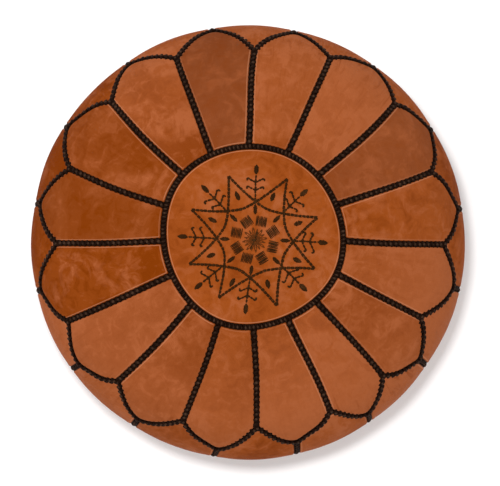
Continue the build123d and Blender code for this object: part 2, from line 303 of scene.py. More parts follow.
def outwards(bm):
    bm.normal_update()
    middle = Vector((0, 0, widestHeight))
    if sum((face.calc_center_median() - middle).dot(face.normal) * face.calc_area() for face in bm.faces) < 0:
        bmesh.ops.reverse_faces(bm, faces=bm.faces)


def stretch(piece, flat):  # a panel of leather, sewn in on every side
    area = min(sum(face.area for face in piece.data.polygons), flat[0] * flat[1])


def giveModifiers(piece, thickness, smoothing=1):
    if smoothing:
        subdivision = piece.modifiers.new("smooth", "SUBSURF")
        subdivision.levels = subdivision.render_levels = smoothing
        subdivision.boundary_smooth = "PRESERVE_CORNERS"
    wall = piece.modifiers.new("thickness", "SOLIDIFY")
    wall.thickness = thickness
    wall.offset = -1


# Shaders


class Wire:  # one socket, in sums that become Math nodes
    def __init__(self, graph, socket):
        self.graph, self.socket = graph, socket

    def maths(self, operation, first, second):
        return self.graph.node("ShaderNodeMath", {"operation": operation}, {0: first, 1: second})

    def __add__(self, other):
        return self.maths("ADD", self, other)

    __radd__ = __add__

    def __sub__(self, other):
        return self.maths("SUBTRACT", self, other)

    def __rsub__(self, other):
        return self.maths("SUBTRACT", other, self)

    def __mul__(self, other):
        return self.maths("MULTIPLY", self, other)

    __rmul__ = __mul__

    def __truediv__(self, other):
        return self.maths("DIVIDE", self, other)

    def least(self, other):
        return self.maths("MINIMUM", self, other)

    def most(self, other):
        return self.maths("MAXIMUM", self, other)

    def between(self, low, high):  # 0 at low, 1 at high, smooth in between
        inputs = {"Value": self, "From Min": low, "From Max": high}
        return self.graph.node("ShaderNodeMapRange", {"interpolation_type": "SMOOTHSTEP"}, inputs)


class Graph:
    def __init__(self, name, **constants):
        self.material = bpy.data.materials.new(name)
        self.material.use_nodes = True
        self.tree = self.material.node_tree
        self.shader = self.tree.nodes["Principled BSDF"]
        for socket, value in constants.items():
            self.shader.inputs[socket.replace("_", " ")].default_value = value
        self.place = self.node("ShaderNodeTexCoord", {}, {}, "Object")

    def node(self, kind, settings, inputs, output=0):
        made = self.tree.nodes.new(kind)
        for name, value in settings.items():
            setattr(made, name, value)
        for key, value in inputs.items():
            if isinstance(value, Wire):
                self.tree.links.new(value.socket, made.inputs[key])
            else:
                made.inputs[key].default_value = value
        return Wire(self, made.outputs[output])

    def attribute(self, name):
        return self.node("ShaderNodeAttribute", {"attribute_name": name}, {}, "Fac")

    def noise(self, scale, detail=3.0, roughness=0.5, distortion=0.0, place=None):
        values = {"Vector": place or self.place, "Scale": scale, "Detail": detail, "Roughness": roughness}
        return self.node("ShaderNodeTexNoise", {}, {**values, "Distortion": distortion}, "Fac")

    def mix(self, share, first, second, blend="MIX"):
        settings = {"data_type": "RGBA", "blend_type": blend, "clamp_factor": True}
        first, second = ((*c, 1) if isinstance(c, tuple) else c for c in (first, second))
        return self.node("ShaderNodeMix", settings, {0: share, 6: first, 7: second}, 2)

    def bump(self, height, distance, strength=1.0, under=None):
        values = {"Height": height, "Distance": distance, "Strength": strength}
        if under:
            values["Normal"] = under
        return self.node("ShaderNodeBump", {}, values)

    def finish(self, **outputs):
        for socket, wire in outputs.items():
            self.tree.links.new(wire.socket, self.shader.inputs[socket.replace("_", " ")])
        return self.material


leather = {
    "shade": (0.170, 0.030, 0.0015),
    "body": (0.262, 0.056, 0.0075),
    # paler leather: the lighter mottling, and the colour of the painted sheen
    "paleAndPaintedSheen": (0.340, 0.095, 0.032),
    # pale line beside the seams: a rubbed cut edge with a painted highlight on its rolled lip
    "edge": (0.50, 0.21, 0.11),
    "umber": (0.178, 0.047, 0.015),
    # painted shade: near-black under and between the seam's threads
    "underThreadShade": (0.010, 0.004, 0.002),
    "underThreadShadeEdge": (0.0034, 0.0042),  # the leather turns down into a seam here, and is painted near-black as the shade under the thread
    "edgeAt": 0.0052,
    "edgeWidth": 0.0007,
    "streakScale": 130,
    "grainScale": 900,
    "cellScale": 620,
    "roughness": 0.50,
}


layerNames = ("tone", "seamGap", "lip", "far", "paintedSheen", "umber", "crease", "across", "down")


def tanLeather():
    g = Graph("tanLeather", Specular_IOR_Level=0.006, Specular_Tint=(1.0, 0.62, 0.42, 1))
    tone, gap, lip, far, paintedSheen, umber, crease, across, down = (g.attribute(name) for name in layerNames)
    cloud = g.noise(14, 4, 0.55, 0.8)
    patch = g.noise(34, 5, 0.6, 1.2)
    blotch = g.noise(64, 4, 0.6, 0.9)
    fleck = g.noise(160, 3, 0.6)
    grain = g.noise(leather["grainScale"], 2, 0.6)
    cellPlace = {"Vector": g.place, "Scale": leather["cellScale"]}
    cells = g.node("ShaderNodeTexVoronoi", {"feature": "DISTANCE_TO_EDGE"}, cellPlace).least(0.12) / 0.12
    hide = g.node("ShaderNodeCombineXYZ", {}, {"X": across, "Y": down * 0.2})
    streak = g.noise(leather["streakScale"], 3, 0.6, 0.6, hide)
    # darker in the cloudy mottling and by hide; the far terms paint the petals darker towards the medallion
    # and lighter towards the arches, a painted evening-out of the overhead lamp
    dark = cloud.between(0.46, 0.66) * 0.5 + blotch.between(0.48, 0.66) * 0.5
    dark = dark + far * patch.between(0.46, 0.62) * 0.35 + (1 - far) * 0.55 + tone - 0.42
    # the pale share: the leather's own lighter mottling plus a painted sheen set panel by panel, and a
    # painted highlight on the crease ridges
    light = (1 - cloud).between(0.44, 0.64) * patch.between(0.40, 0.62) * 0.9 + far * 0.15 + paintedSheen
    light = light + streak.between(0.50, 0.68) * crease * 0.45 + (1 - blotch).between(0.52, 0.66) * 0.4
    colour = g.mix((umber * (0.45 + patch * 1.1)).least(1.0), leather["body"], leather["umber"])
    dark = (dark * (1 - umber * 0.6)).least(1.0).most(0.0)
    paleAndPaintedSheen = (light * (1 - umber * 0.6)).least(1.0).most(0.0)
    colour = g.mix(dark, colour, leather["shade"])
    # painted lighter still towards the arches
    colour = g.mix(paleAndPaintedSheen * (0.85 + far * 0.15), colour, leather["paleAndPaintedSheen"])
    colour = g.mix((fleck - 0.5) * 0.35 + 0.12, colour, leather["shade"])
    # painted shade in the crease hollows; the ridges get a painted highlight in the pale share
    paintedCreaseShade = ((0.44 - streak) / 0.10).most(0.0).least(1.0) * crease
    colour = g.mix(paintedCreaseShade * 0.55, colour, leather["shade"])
    # the pale line beside the seams: a rubbed cut edge and a painted highlight on its lip
    offEdge = g.node("ShaderNodeMath", {"operation": "ABSOLUTE"}, {0: gap - leather["edgeAt"]})
    worn = (1 - offEdge / leather["edgeWidth"]).most(0.0)
    colour = g.mix(worn * lip * (0.5 + fleck * 0.8), colour, leather["edge"])
    # painted shade: the leather goes near-black under the seam's threads
    colour = g.mix(1 - gap.between(*leather["underThreadShadeEdge"]), colour, leather["underThreadShade"])
    rough = leather["roughness"] + patch * 0.22 - light * 0.08 + (grain - 0.5) * 0.2
    relief = g.bump(patch, 0.0022, 0.55)
    relief = g.bump(streak * crease, 0.0022, 0.8, relief)
    relief = g.bump(fleck, 0.00035, 0.6, relief)
    relief = g.bump(cells * 0.7 + grain * 0.3, 0.00012, 0.8, relief)
    return g.finish(Base_Color=colour, Roughness=rough, Normal=relief)


thread = {
    "dark": (0.0065, 0.0020, 0.0009),
    "worn": (0.022, 0.009, 0.005),
    # painted highlight on the top of each strand that passes over
    "crown": (0.056, 0.029, 0.017),
    "stitch": (0.024, 0.0090, 0.0022),
    "stitchWorn": (0.070, 0.029, 0.009),
    "pale": (0.095, 0.026, 0.005),
}


def threadMaterial(name, dark, worn, roughness):
    g = Graph(name, Specular_IOR_Level=0.05, Specular_Tint=(1.0, 0.7, 0.55, 1))
    ply, pale, crown = (g.attribute(name) for name in ("ply", "pale", "crown"))
    fibre = g.noise(2400, 2, 0.6)
    wear = g.noise(120, 3, 0.6)
    twist = g.node("ShaderNodeMath", {"operation": "SINE"}, {0: ply})
    colour = g.mix(wear.between(0.45, 0.75) * 0.6 + twist * 0.15, dark, worn)
    colour = g.mix(pale, colour, thread["pale"])
    # painted highlight on the tops of the strands, broken up by noise
    colour = g.mix(crown * wear.between(0.30, 0.62), colour, thread["crown"])
    relief = g.bump(twist * 0.5 + fibre * 0.5, 0.00025, 0.7)
    return g.finish(Base_Color=colour, Roughness=roughness + fibre * 0.2, Normal=relief)


# Leather panels

panels = {
    "edgeSteps": (0.0, 0.0032, 0.0046, 0.0060, 0.0090),
    "lipAt": (0.0, 0.0032, 0.0046, 0.0060, 0.0090, 0.020),
    "lipLift": (-0.0016, -0.0008, 0.0005, 0.0006, 0.0004, 0.0003),
    "steps": {"petals": (20, 36), "sides": (20, 42)},
    "creaseReach": 0.035,
    "pinned": 0.005,
    "seeds": {"petals": 0, "sides": 96},
    "lips": (0.08, 0.3, 0.65),  # how strongly an edge's pale line shows, and how often: a rubbed cut edge with a painted highlight on its rolled lip
    "lipShares": (0.35, 0.25, 0.4),
    "bulge": {"petals": 0.0026, "sides": 0.0008},
    "bulgeReach": 0.016,
    "petals": {  # 01 to 16, each from a hide of its own
        "tone": (0.15, 0.15, 0.15, 0, 0.25, 0.7, 0.45, 0.3, 0.5, 0.45, 0.8, 0.15, 0.15, 0.05, 0.55, 0.25),
        "archTone": (  # what is added to the tone towards the arch; 1.6 times it is taken off the painted sheen there
            *(-0.1, -0.1, -0.15, -0.2, 0.2, -0.2, 0, 0.25),
            *(0.3, -0.2, -0.35, -0.3, -0.4, -0.25, -0.2, -0.5),
        ),
        # painted sheen, panel by panel
        "paintedSheen": (0, 0.1, 0.6, 0.2, 0.1, 0.1, 0, 0, 0, 0.5, 0.2, 0.15, 0.3, 0.45, 0.2, 0.2),
        "umber": (0, 0.85, 0.1, 0.2, 1, 0, 0.3, 0.45, 0, 0.4, 0.4, 0.1, 0, 0, 0.25, 0.1),
        "crease": (0.3, 0.3, 0.9, 1, 0.4, 0.3, 0.9, 0.2, 0.2, 0.5, 0.6, 0.3, 0.3, 0.8, 0.4, 0.6),
    },
    "sides": {
        "tone": (0.25, 0.7, 0.05, 0, 0, 0.1, 0.8, 1, 0.7, 0, 0, 0.3, 0.2, 0, 0, 0),
        # painted sheen, panel by panel; below 0 it paints the panel darker
        "paintedSheen": (0, 0, 0.1, 0.1, 0.2, 0.1, -0.35, -0.35, -0.35, 0.5, 0.6, 0.1, 0, 0.3, 1, 1),
        "umber": (0, 0, 0, 0.2, 0.2, 0, 0, 0, 0, 0, 0.2, 0.2, 0, 0, 0, 0),
        "crease": (0.4, 0.4, 0.8, 0.9, 0.7, 0.5, 1, 0.4, 0.2, 0.6, 0.8, 0.5, 0.3, 0.4, 1, 0.5),
    },
    "cloth": {
        "pressure": 4.0,
        "frames": 20,
        "quality": 5,
        "mass": 0.3,
        "stretch": 25,
        "shear": 10,
        "bending": 0.8,
        "damping": 3,
        "slack": -0.035,
        "slackReach": 0.03,
        "cap": 0.006,
    },
}


def spaced(count, length):  # places across a panel, close together at both of its edges
    steps = panels["edgeSteps"]
    inner = count - 2 * (len(steps) - 1)
    length = np.asarray(length, float)
    step = (length - 2 * steps[-1]) / inner
    near = [edge + 0 * length for edge in steps]
    between = [steps[-1] + step * k for k in range(1, inner)]
    away = [length - edge for edge in reversed(steps)]
    return np.stack(near + between + away)


def panelGrid(kind, topAt, bottomAt, turnTo, leans, number):
    across, down = panels["steps"][kind]
    middle = np.full(1, (leans[0][1] + leans[1][1]) / 2)
    top, bottom = topAt(middle)[0], bottomAt(middle)[0]
    rows = top + spaced(down, bottom - top)
    radii = np.interp(rows, skin[:, 4], skin[:, 0])
    fade = 1 - np.clip((rows - top) / (bottom - top), 0, 1)
    leftTurn, rightTurn = (side + above * fade + below * (1 - fade) for side, above, below in leans)
    width = (rightTurn - leftTurn) * radii
    offset = spaced(across, width)  # (across + 1, down + 1)
    turn = offset / radii + leftTurn
    start, end = topAt(turn), bottomAt(turn)
    fromTop = np.stack([np.diagonal(spaced(down, lengths)) for lengths in end - start])
    fromEnd = end - start - fromTop
    sides = np.stack([offset, width - offset, fromTop, fromEnd])
    draw = np.random.RandomState(panels["seeds"][kind] + number)
    lips = draw.choice(panels["lips"], 4, p=panels["lipShares"])
    far = fromTop / (end - start)
    archGap = fromEnd if kind == "petals" else fromTop
    hide = {key: np.full_like(turn, values[number]) for key, values in panels[kind].items()}
    fading = hide.pop("archTone", 0) * far
    hide["tone"] += fading
    # the painted sheen grows towards the arch as the tone falls
    hide["paintedSheen"] -= 1.6 * fading
    hide["crease"] *= 0.25 + 0.75 * np.exp(-archGap / panels["creaseReach"])
    return {
        **hide,
        "kind": kind,
        "turn": turn + turnTo,
        "along": start + fromTop,
        "across": (turn + turnTo) * poufRadius,
        "down": start + fromTop,
        "seamGap": sides.min(0),
        "lip": lips[sides.argmin(0)],
        "far": far if kind == "petals" else 1 - far * 0.5,
        "slack": draw.uniform(0.2, 1.0),
        "flat": (float(width.max()), float((end - start).max())),
    }


def panelMesh(grid):
    across, down = panels["steps"][grid["kind"]]
    bm = bmesh.new()
    bmesh.ops.create_grid(bm, x_segments=across, y_segments=down, size=0.5)
    layers = {key: bm.verts.layers.float.new(key) for key in layerNames}
    lift = np.interp(grid["seamGap"], panels["lipAt"], panels["lipLift"])
    rise = np.clip(grid["seamGap"] - panels["edgeSteps"][-1], 0, 1)
    lift = lift + panels["bulge"][grid["kind"]] * (1 - np.exp(-rise / panels["bulgeReach"]))
    points = place(grid["turn"], grid["along"], lift)
    for vert in bm.verts:
        i, j = round((vert.co.x + 0.5) * across), round((vert.co.y + 0.5) * down)
        vert.co = points[i, j]
        for key in layerNames:
            vert[layers[key]] = grid[key][i, j]
    outwards(bm)
    return bm


def readPoints(mesh):
    points = np.empty(len(mesh.vertices) * 3)
    mesh.vertices.foreach_get("co", points)
    return points.reshape(-1, 3)


def writePoints(mesh, points):
    mesh.vertices.foreach_set("co", points.astype(np.float32).ravel())
    mesh.update()


def inflate(pieces, slacks):
    settings = panels["cloth"]
    bm = bmesh.new()
    for piece in pieces:
        bm.from_mesh(piece.data)
    gapLayer = bm.verts.layers.float["seamGap"]
    gaps = np.array([vert[gapLayer] for vert in bm.verts])
    mesh = bpy.data.meshes.new("coverCloth")
    bm.to_mesh(mesh)
    bm.free()
    cover = bpy.data.objects.new("coverCloth", mesh)
    scene.collection.objects.link(cover)
    counts = [len(piece.data.vertices) for piece in pieces]
    loose = np.repeat(slacks, counts) * np.exp(-gaps / settings["slackReach"])
    pins = cover.vertex_groups.new(name="pins")
    pins.add([int(k) for k in np.nonzero(gaps < panels["pinned"])[0]], 1.0, "REPLACE")
    slack = cover.vertex_groups.new(name="slack")
    for index, weight in enumerate(loose):
        slack.add([index], float(weight), "REPLACE")
    cloth = cover.modifiers.new("cloth", "CLOTH")
    cloth.settings.quality = settings["quality"]
    cloth.settings.mass = settings["mass"]
    cloth.settings.tension_stiffness = cloth.settings.compression_stiffness = settings["stretch"]
    cloth.settings.shear_stiffness = settings["shear"]
    cloth.settings.bending_stiffness = settings["bending"]
    cloth.settings.air_damping = settings["damping"]
    cloth.settings.use_pressure = True
    cloth.settings.uniform_pressure_force = settings["pressure"]
    cloth.settings.effector_weights.gravity = 0
    cloth.settings.vertex_group_mass = "pins"
    cloth.settings.vertex_group_shrink = "slack"
    cloth.settings.shrink_min = 0.0
    cloth.settings.shrink_max = settings["slack"]
    cloth.collision_settings.use_collision = False
    cloth.point_cache.frame_start, cloth.point_cache.frame_end = 1, settings["frames"]
    for number in range(1, settings["frames"] + 1):
        scene.frame_set(number)
    settled = cover.evaluated_get(bpy.context.evaluated_depsgraph_get())
    points, before = readPoints(settled.to_mesh()), readPoints(mesh)
    settled.to_mesh_clear()
    scene.frame_set(1)
    bpy.data.objects.remove(cover)
    moved = points - before
    far = np.linalg.norm(moved, axis=1, keepdims=True)
    print(f"cloth moved {far.mean() * 1000:.1f} mm on average, {far.max() * 1000:.1f} mm at most")
    moved *= np.minimum(1, settings["cap"] / np.maximum(far, 1e-9))
    start = 0
    for piece, count in zip(pieces, counts):
        writePoints(piece.data, readPoints(piece.data) + moved[start : start + count])
        start += count


leatherMaterial = tanLeather()


def makePanels():
    made, slacks = [], []
    for number in range(pouf["petals"]):

        def ring(turn):
            return ringAlong + 0 * turn

        def base(turn):
            return baseAlong + 0 * turn

        def petalEnd(turn, number=number):
            return archAlong(number, turn)

        def sideTop(turn, number=number):
            left, right = archAlong(number - 1, turn + halfPitch), archAlong(number, turn - halfPitch)
            return np.where(turn < places["cornerTurn"][number], left, right)

        after = (number + 1) % pouf["petals"]
        leans = [
            (side, places["ringTurn"][seam], places["cornerTurn"][seam])
            for side, seam in ((-halfPitch, number), (halfPitch, after))
        ]
        petal = panelGrid("petals", ring, petalEnd, (2 * number + 1) * halfPitch, leans, number)
        leans = [
            (side, places["tipTurn"][seam], 0.0)
            for side, seam in ((-halfPitch, number - 1), (halfPitch, number))
        ]
        side = panelGrid("sides", sideTop, base, 2 * number * halfPitch, leans, number)
        for node, grid in ((f"petal_{number + 1:02d}", petal), (f"side_panel_{number + 1:02d}", side)):
            piece = newPiece(f"leather_{node}", panelMesh(grid), leatherMaterial)
            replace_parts(piece, node)
            made.append((piece, grid["flat"]))
            slacks.append(grid["slack"])
    inflate([piece for piece, _ in made], slacks)
    for piece, flat in made:
        writePoints(piece.data, sway(readPoints(piece.data)))
        stretch(piece, flat)
        giveModifiers(piece, pouf["leather"])
    return made


leatherPieces = makePanels()
print(f"{len(leatherPieces)} leather panels")


# its lip is a strong pale seam line, a rubbed edge with a painted highlight
# the medallion gets a little painted sheen
medallion = {"rings": 17, "steps": 144, "tone": -0.26, "lip": 0.8, "paintedSheen": 0.1}


def makeMedallion():
    gaps = spaced(2 * medallion["rings"], 2 * ringAlong)[: medallion["rings"] + 1]
    lift = np.interp(gaps, panels["lipAt"], panels["lipLift"])
    bm = spun(place(np.zeros(len(gaps)), ringAlong - gaps, lift), 2 * pi, medallion["steps"])
    layers = {key: bm.verts.layers.float.new(key) for key in layerNames}
    for vert in bm.verts:
        gap = ringAlong - domeRadius * asin(min(1, hypot(vert.co.x, vert.co.y) / domeRadius))
        vert[layers["seamGap"]] = gap
        for key in ("tone", "lip", "paintedSheen"):
            vert[layers[key]] = medallion[key]
    outwards(bm)
    piece = newPiece("leather_medallion", bm, leatherMaterial)
    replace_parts(piece, "medallion_panel")
    writePoints(piece.data, sway(readPoints(piece.data)))
    stretch(piece, (2 * ringAlong, 2 * ringAlong))
    giveModifiers(piece, pouf["leather"], 0)


makeMedallion()
print("medallion")

# Thread: one thread is a tube laid between two places on a surface

plait = {
    "pitch": 0.0035,
    "reach": 0.0044,  # from the middle of the seam to where a strand goes in
    "lean": 0.0058,
    "width": 0.00185,
    "height": 0.0011,
    "rise": (-0.0012, -0.0004, 0.0001, 0.0009, 0.0007, 0.0001, -0.0012),
    "under": 0.0005,  # every second strand passes under
    "crown": 0.20,  # share of a strand's length, about its middle, that gets a painted highlight
    "sides": 6,
}
whipped = {**plait, "pitch": 0.0024, "lean": 0.0012, "width": 0.00130, "crown": 0.30}
raised = {
    **plait,
    "reach": 0.0049,
    "height": 0.0014,
    "rise": (-0.0012, 0.0002, 0.0011, 0.0016, 0.0014, 0.0005, -0.0012),
    "crown": 0.16,
}
tight = {
    **plait,
    "reach": 0.0030,
    "lean": 0.0044,
    "rise": (-0.0016, -0.0010, -0.0006, -0.0002, -0.0004, -0.0008, -0.0016),
}


def strand(step, width, height, *rise):  # one kind of plain stitch
    return {"step": step, "width": width, "height": height, "rise": rise, "sides": 5}


def unitThread(sides, parts):  # one tube a unit long and a unit in radius
    bm = bmesh.new()
    bmesh.ops.create_cone(bm, cap_ends=True, segments=sides, radius1=1, radius2=1, depth=1)
    long = [edge for edge in bm.edges if abs(edge.verts[0].co.z - edge.verts[1].co.z) > 0.5]
    bmesh.ops.subdivide_edges(bm, edges=long, cuts=parts - 1, use_grid_fill=True)
    mesh = bpy.data.meshes.new("unitThread")
    bm.to_mesh(mesh)
    bm.free()
    return mesh


def threads(name, ends, kind, surface, material, seed=0, pale=0.0):
    ends = np.asarray(ends, float)
    parts = len(kind["rise"]) - 1
    unit = unitThread(kind["sides"], parts)
    base = readPoints(unit)
    bm = bmesh.new()
    for _ in range(len(ends)):
        bm.from_mesh(unit)
    plyLayer, paleLayer, paintedHighlightLayer = (bm.verts.layers.float.new(key) for key in ("ply", "pale", "crown"))
    share = base[:, 2] + 0.5
    taper = np.interp(share, (0, 0.15, 0.85, 1), (0.7, 1, 1, 0.7))
    draw = np.random.RandomState(seed)
    varied = draw.uniform(0.88, 1.12, (len(ends), 1))
    start, end = ends[:, None, :2], ends[:, None, 2:]
    run = end - start
    length = np.linalg.norm(run, axis=2, keepdims=True)
    side = np.stack([-run[..., 1], run[..., 0]], -1) / length
    middle = start + run * share[None, :, None]
    flatPlace = middle + side * (base[:, 0] * taper * kind["width"])[None, :, None] * varied[..., None]
    rise = np.interp(share, np.linspace(0, 1, parts + 1), kind["rise"])
    lift = (rise + base[:, 1] * taper * kind["height"])[None, :] * varied
    second = np.arange(len(ends))[:, None] % 2
    lift = lift - second * kind.get("under", 0) * np.sin(pi * share)
    # painted highlight about the middle of every first strand, the one that passes over
    paintedHighlights = (1 - second) * np.clip(1 - np.abs(share - 0.5) / kind.get("crown", 1e-6), 0, 1)
    points = surface(flatPlace[..., 0], flatPlace[..., 1], lift).reshape(-1, 3)
    twist = np.tile(share * 2 * pi * 2.5 + np.arctan2(base[:, 1], base[:, 0]), len(ends))
    for vert, point, turn, crown in zip(bm.verts, points, twist, paintedHighlights.ravel()):
        vert.co = point
        vert[plyLayer] = turn
        vert[paleLayer] = pale
        vert[paintedHighlightLayer] = crown
    bmesh.ops.recalc_face_normals(bm, faces=bm.faces)
    return newPiece(name, bm, material)


def pathSurface(turn, along):  # a surface whose first direction runs along a seam
    points, tops = sway(place(turn, along)), sway(place(turn, along, 0.01))
    up = (tops - points) / np.linalg.norm(tops - points, axis=1, keepdims=True)
    steps = np.linalg.norm(np.diff(points, axis=0), axis=1)
    travelled = np.concatenate([[0], np.cumsum(steps)])
    ahead = np.gradient(points, travelled, axis=0)
    across = np.cross(up, ahead)
    across /= np.linalg.norm(across, axis=1, keepdims=True)

    def surface(first, second, lift):
        spots = [
            np.stack([np.interp(first, travelled, row[:, axis]) for axis in range(3)], -1)
            for row in (points, across, up)
        ]
        past = np.where(first < 0, first, np.where(first > travelled[-1], first - travelled[-1], 0))
        beyond = np.where(past[..., None] < 0, ahead[0], ahead[-1]) * past[..., None]
        return spots[0] + beyond + spots[1] * second[..., None] + spots[2] * lift[..., None]

    return surface, travelled[-1]


def plaited(length, kind):
    count = max(2, 2 * round(length / kind["pitch"] / 2))
    middle = (np.arange(count) + 0.5) * length / count
    side = np.where(np.arange(count) % 2, 1, -1)
    return np.column_stack(
        [middle - kind["lean"] / 2, -side * kind["reach"], middle + kind["lean"] / 2, side * kind["reach"]]
    )


plaitMaterial = threadMaterial("plaitedThread", thread["dark"], thread["worn"], 0.6)


def joinPieces(name, pieces, material):
    bm = bmesh.new()
    for piece in pieces:
        bm.from_mesh(piece.data)
        bpy.data.objects.remove(piece)
    return newPiece(name, bm, material)


def seamPiece(name, node, paths, kind):
    pieces = []
    for number, (turn, along) in enumerate(paths):
        surface, length = pathSurface(turn, along)
        laid = threads(
            f"{name}{number}", plaited(length, kind), kind, surface, plaitMaterial, number
        )
        pieces.append(laid)
    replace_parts(joinPieces(name, pieces, plaitMaterial), node)


def makeSeams():
    band = plait["reach"]
    fullTurn = np.linspace(0, 2 * pi, 500)
    share = np.linspace(0, 1, 60)
    pitches = [2 * halfPitch * number for number in range(pouf["petals"])]
    petalPaths, archPaths, sidePaths = [], [], []
    for number, pitch in enumerate(pitches):
        start, end = petalEnds(number)
        corner = float(archAlong(number, start))
        ringTurn, cornerTurn = places["ringTurn"][number], places["cornerTurn"][number]
        turn = pitch + ringTurn + (cornerTurn - ringTurn) * share
        petalPaths.append((turn, ringAlong + band + (corner - ringAlong - band) * share))
        arch = np.linspace(start, end, 81)
        archPaths.append((pitch + halfPitch + arch, archAlong(number, arch)))
        tipTurn = places["tipTurn"][number]
        tip = float(archAlong(number, tipTurn))
        along = tip + band + (baseAlong - tip - 2 * band) * share
        sidePaths.append((pitch + halfPitch + tipTurn * (1 - share), along))
    seamPiece("plait_medallion", "medallion_seam", [(fullTurn, ringAlong + 0 * fullTurn)], whipped)
    seamPiece("plait_petals", "petal_seams", petalPaths, plait)
    seamPiece("plait_arches", "arch_seams", archPaths, raised)
    seamPiece("plait_sides", "side_seams", sidePaths, tight)
    seamPiece("plait_base", "base_seam", [(fullTurn, baseAlong + 0 * fullTurn)], plait)


makeSeams()
print("plaited seams")

# Embroidery

star = {
    "centre": (0.0022, -0.0051),
    "turn": -3,
    "points": 8,
    "reach": 0.0794,
    "middle": 0.0385,  # where each side of its squares comes nearest the middle
    "bend": 1.45,
    "pointTurns": (-1.0, -5.0, 0.9, -0.3, 1.4, -4.5, 2.1, 0.3),  # hand-drawn, so each point leans a little
    "pointReach": (1.0, 1.04, 1.015, 1.03, 1.05, 0.985, 1.045, 0.975),
    "sprigTurns": (0.9, -0.5, -0.2, 1.0, 0.7, -2.0, -0.8, 4.5),
    "sprigReach": (0.96, 0.99, 1.015, 0.995, 1.05, 1.03, 0.975, 0.975),
    "crossing": 0.0445,
    "sprigEnd": 0.0755,
    "twigs": (0.0572, 0.0667),
    "twigLength": 0.0122,
    "twigLean": 27,
    "hook": 0.0036,
    "leaf": (0.0140, 0.0060),
    "innerLeaf": (0.0355, 0.0135, 0.0048),
    "pointLeaf": (0.0548, 0.0126, 0.0056),
    "blockCircle": 0.0227,
    "block": 0.0126,
    "blockTurn": 10,
    "rays": 16,
    "ray": (0.0026, 0.0100, 0.0148),
    "rayLoop": 0.0013,
    "shorter": 0.002,  # every second ray
    "knots": ((1.25, -0.002, 0.0105), (4.3, -0.002, 0.012), (0.3, -0.003, 0.003), (2.4, -0.003, 0.003)),
    "rowGap": 0.00085,
    "shortest": 0.001,
    "unevenness": 0.00013,
    "bold": strand(0.0046, 0.00092, 0.00060, -0.0003, 0.0003, 0.0004, -0.0003),
    "fine": strand(0.0044, 0.00120, 0.00060, -0.0003, 0.0003, 0.0003, -0.0003),
    "satin": strand(0.00165, 0.00070, 0.00050, -0.0003, 0.0004, 0.0004, -0.0003),
    "hair": strand(0.0044, 0.00060, 0.00045, -0.0002, 0.0003, 0.0003, -0.0002),
}


def topSurface(x, y, lift):
    x, y = x + star["centre"][0], y + star["centre"][1]
    reach = np.hypot(x, y)
    turn = np.arctan2(y, x)
    return sway(place(turn, domeRadius * np.arcsin(reach / domeRadius), lift + panels["lipLift"][-1]))


def turned(points, angle):
    c, s = cos(angle), sin(angle)
    return np.asarray(points, float) @ np.array([[c, s], [-s, c]])


def stitched(points, step, offset=0.0):  # a row of stitches along a line, or two rows that share their holes
    points = np.asarray(points, float)
    travelled = np.concatenate([[0], np.cumsum(np.linalg.norm(np.diff(points, axis=0), axis=1))])
    at = np.linspace(0, travelled[-1], 1 + max(1, round(travelled[-1] / step)))
    holes = np.stack([np.interp(at, travelled, points[:, axis]) for axis in range(2)], -1)
    ahead = np.diff(holes, axis=0)
    ahead /= np.linalg.norm(ahead, axis=1, keepdims=True)
    side = np.stack([-ahead[:, 1], ahead[:, 0]], -1) * offset
    sides = (-1, 1) if offset else (0,)
    return np.vstack([np.hstack([holes[:-1] + side * k, holes[1:] + side * k * 0.6]) for k in sides])


def filled(outline, across, step):  # stitches side by side across a shape with these corners
    corners = turned(outline, -across)
    rows = []
    for x in np.arange(corners[:, 0].min() + step / 2, corners[:, 0].max(), step):
        meets = [
            first[1] + (second[1] - first[1]) * (x - first[0]) / (second[0] - first[0])
            for first, second in zip(corners, np.roll(corners, -1, axis=0))
            if (first[0] - x) * (second[0] - x) < 0
        ]
        if len(meets) == 2 and abs(meets[0] - meets[1]) > star["shortest"]:
            rows.append((x, min(meets), x, max(meets)))
    rows = np.array(rows)
    return np.hstack([turned(rows[:, :2], across), turned(rows[:, 2:], across)])


def leafShape(centre, length, width, angle):
    shape = [(-0.5, 0), (-0.22, -0.5), (0.18, -0.5), (0.5, 0), (0.18, 0.5), (-0.22, 0.5)]
    return turned([(centre + along * length, across * width) for along, across in shape], angle)


def starLines(pitch):
    points = []
    for number, lean in enumerate(star["pointTurns"]):
        reach = star["reach"] * star["pointReach"][number]
        points.append(turned([(reach, 0)], pitch * (number + 0.5) + radians(star["turn"] + lean))[0])
    rows = []
    share = np.linspace(-1, 1, 41)[:, None]
    for number in range(star["points"]):
        first, last = points[number - 1], points[(number + 1) % star["points"]]
        middle = turned([(star["middle"], 0)], pitch * (number + 0.5) + radians(star["turn"]))[0]
        straight = first + (last - first) * (share + 1) / 2
        side = straight + (middle - (first + last) / 2) * (1 - np.abs(share) ** star["bend"])
        rows.append(stitched(side, star["bold"]["step"], star["rowGap"]))
    return np.vstack(rows)


def sprigLines(angle, reach, draw):
    lean = radians(star["twigLean"])
    lines = [[(star["crossing"] * reach, 0), (star["sprigEnd"] * reach, 0)]]
    for root in np.array(star["twigs"]) * reach:
        for side in (-1, 1):
            length = star["twigLength"] * draw.uniform(0.85, 1.1)
            elbow = (root + length * sin(lean), side * length * cos(lean))
            lines.append([(root, 0), elbow])
            hookSide = side * star["hook"] * draw.uniform(-0.1, 0.3)
            lines.append([elbow, (elbow[0] - star["hook"], elbow[1] + hookSide)])
    return np.vstack([stitched(turned(line, angle), star["fine"]["step"]) for line in lines])


